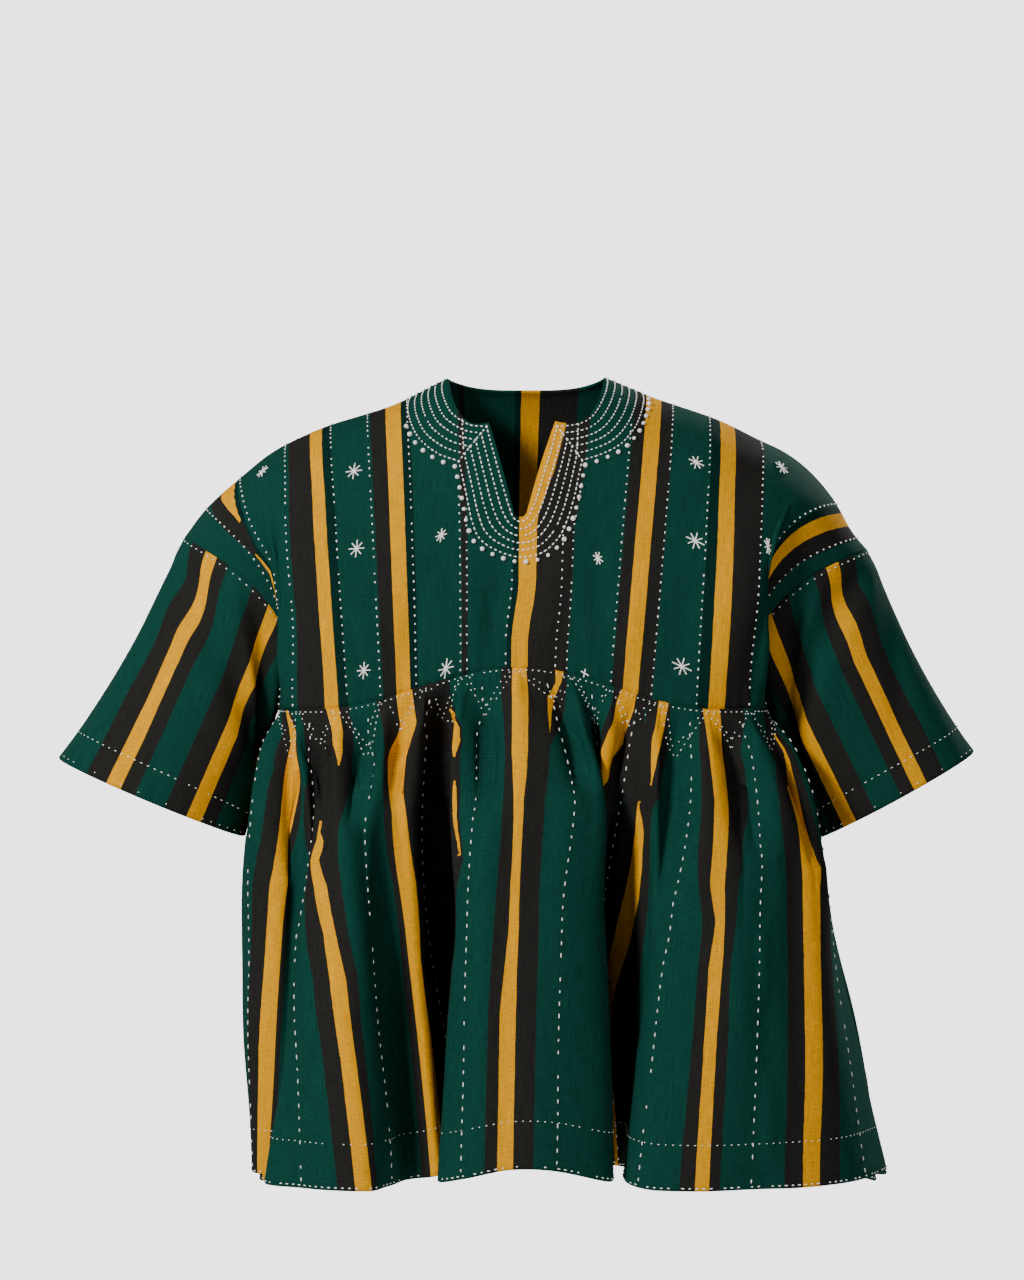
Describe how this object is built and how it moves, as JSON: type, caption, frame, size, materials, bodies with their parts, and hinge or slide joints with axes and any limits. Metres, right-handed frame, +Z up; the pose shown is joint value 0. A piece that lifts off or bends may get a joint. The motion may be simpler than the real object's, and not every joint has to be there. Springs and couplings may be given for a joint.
{
  "type": "fugu smock",
  "caption": "Hollow, worn form of a gathered smock of striped strip cloth with short wide sleeves, slit neck and full skirt.",
  "frame": {"origin": "midway between the two points where the shoulders meet the neck opening, where the garment is held when it is worn", "axes": "+Z up, -Y the front of the garment, +X the wearer's left"},
  "size_m": [0.8488, 0.453, 0.7675],
  "materials": {
    "strip_cloth": "matte handwoven cotton in dark green, black and golden yellow stripes",
    "cotton_thread": "thick white cotton thread of the hand stitches"
  },
  "bodies": {
    "root": {"front_body": "strip_cloth", "back_body": "strip_cloth", "left_sleeve": "strip_cloth", "right_sleeve": "strip_cloth", "front_skirt": "strip_cloth", "back_skirt": "strip_cloth"}
  },
  "joints": []
}
